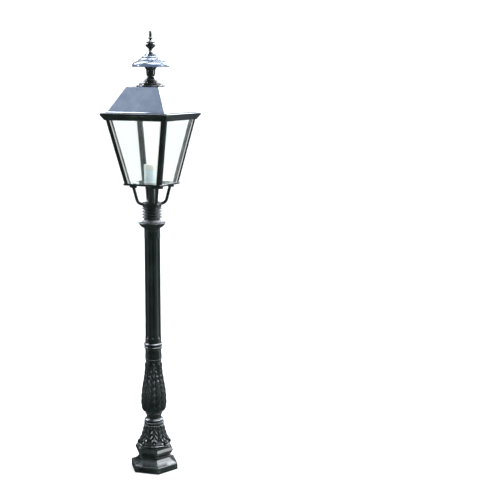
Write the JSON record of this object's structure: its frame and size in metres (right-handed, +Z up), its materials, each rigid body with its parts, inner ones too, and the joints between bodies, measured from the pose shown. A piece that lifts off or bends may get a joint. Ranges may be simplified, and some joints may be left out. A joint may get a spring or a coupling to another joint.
{
  "type": "garden lantern",
  "caption": "Four-sided glazed garden lantern with a hinged hollow roof and spire finial, on curved arms over a fluted cast post with leaf-covered baluster and hexagonal foot.",
  "frame": {"origin": "on the ground at the centre of the foot, on the post's axis", "axes": "+Z up along the post; the lantern's glazed faces look along X and Y, its front along -Y, and the roof's hinges are on the +Y side"},
  "size_m": [0.306, 0.306, 1.8499],
  "materials": {
    "enamelled_casting": "gloss dark green-black enamel on cast iron",
    "enamelled_steel": "gloss dark green-black enamel on steel",
    "enamelled_sheet": "gloss dark blue-grey enamel on sheet steel",
    "zinc_steel": "zinc-plated",
    "white_plate": "white enamel",
    "clear_glass": "clear, polished",
    "opal_glass": "opal, satin",
    "light_seal": "matt light grey",
    "black_seal": "matt black",
    "white_plastic": "satin white",
    "porcelain": "glazed white",
    "brass": "plain"
  },
  "bodies": {
    "post": {"anchor_plate": "zinc_steel", "pipe_socket": "zinc_steel", "core_pipe": "zinc_steel", "plinth": "enamelled_casting", "leaf_bell": "enamelled_casting", "waist_ring": "enamelled_casting", "baluster": "enamelled_casting", "bead_ring": "enamelled_casting", "plain_collar": "enamelled_casting", "double_ring": "enamelled_casting", "fluted_shaft": "enamelled_casting", "capital": "enamelled_casting", "lock_nut": "zinc_steel"},
    "head": {"neck_socket": "enamelled_casting", "socket_screws": "zinc_steel", "arm_hub": "enamelled_casting", "arm_front_left": "enamelled_steel", "arm_front_right": "enamelled_steel", "arm_back_right": "enamelled_steel", "arm_back_left": "enamelled_steel", "conduit": "enamelled_steel", "conduit_nuts": "zinc_steel", "arm_screws": "zinc_steel", "tray": "enamelled_steel", "reflector_plate": "white_plate", "stile_front_left": "enamelled_steel", "stile_front_right": "enamelled_steel", "stile_back_right": "enamelled_steel", "stile_back_left": "enamelled_steel", "tray_screws": "zinc_steel", "cornice": "enamelled_steel", "cornice_screws": "zinc_steel", "pane_front": "clear_glass", "pane_right": "clear_glass", "pane_back": "clear_glass", "pane_left": "clear_glass", "pane_seals": "light_seal", "glazing_strips": "enamelled_steel", "roof_gasket": "black_seal", "hinge_leaves_fixed": "enamelled_steel", "hinge_pins": "zinc_steel", "gallery_ring": "white_plate", "holder_base": "white_plastic", "lampholder": "porcelain", "earth_screw": "brass"},
    "roof": {"roof_rim": "enamelled_sheet", "roof_panels": "enamelled_sheet", "roof_top": "enamelled_sheet", "hinge_leaves_roof": "enamelled_steel", "finial_base": "enamelled_casting", "vase_neck": "enamelled_casting", "hood": "enamelled_sheet", "finial_rod": "zinc_steel", "rod_nut": "zinc_steel", "spire": "enamelled_casting"},
    "cylinder": {"opal_cylinder": "opal_glass", "opal_cap": "white_plastic"},
    "lamp": {"lamp_bulb": "opal_glass", "lamp_cap": "brass"}
  },
  "joints": [
    {"name": "head_swivel", "type": "hinge", "parent": "post", "child": "head", "pos_m": [0, 0, 1.1], "axis": [0, 0, 1], "range_deg": [-170, 170]},
    {"name": "roof_hinge", "type": "hinge", "parent": "head", "child": "roof", "pos_m": [0, 0.146, 1.5253], "axis": [-1, 0, 0], "range_deg": [0, 100]},
    {"name": "cylinder_lift", "type": "slide", "parent": "head", "child": "cylinder", "axis": [0, 0, 1], "range_m": [0, 0.12]},
    {"name": "lamp_turn", "type": "hinge", "parent": "head", "child": "lamp", "pos_m": [0, 0, 1.25], "axis": [0, 0, 1], "continuous": true}
  ]
}
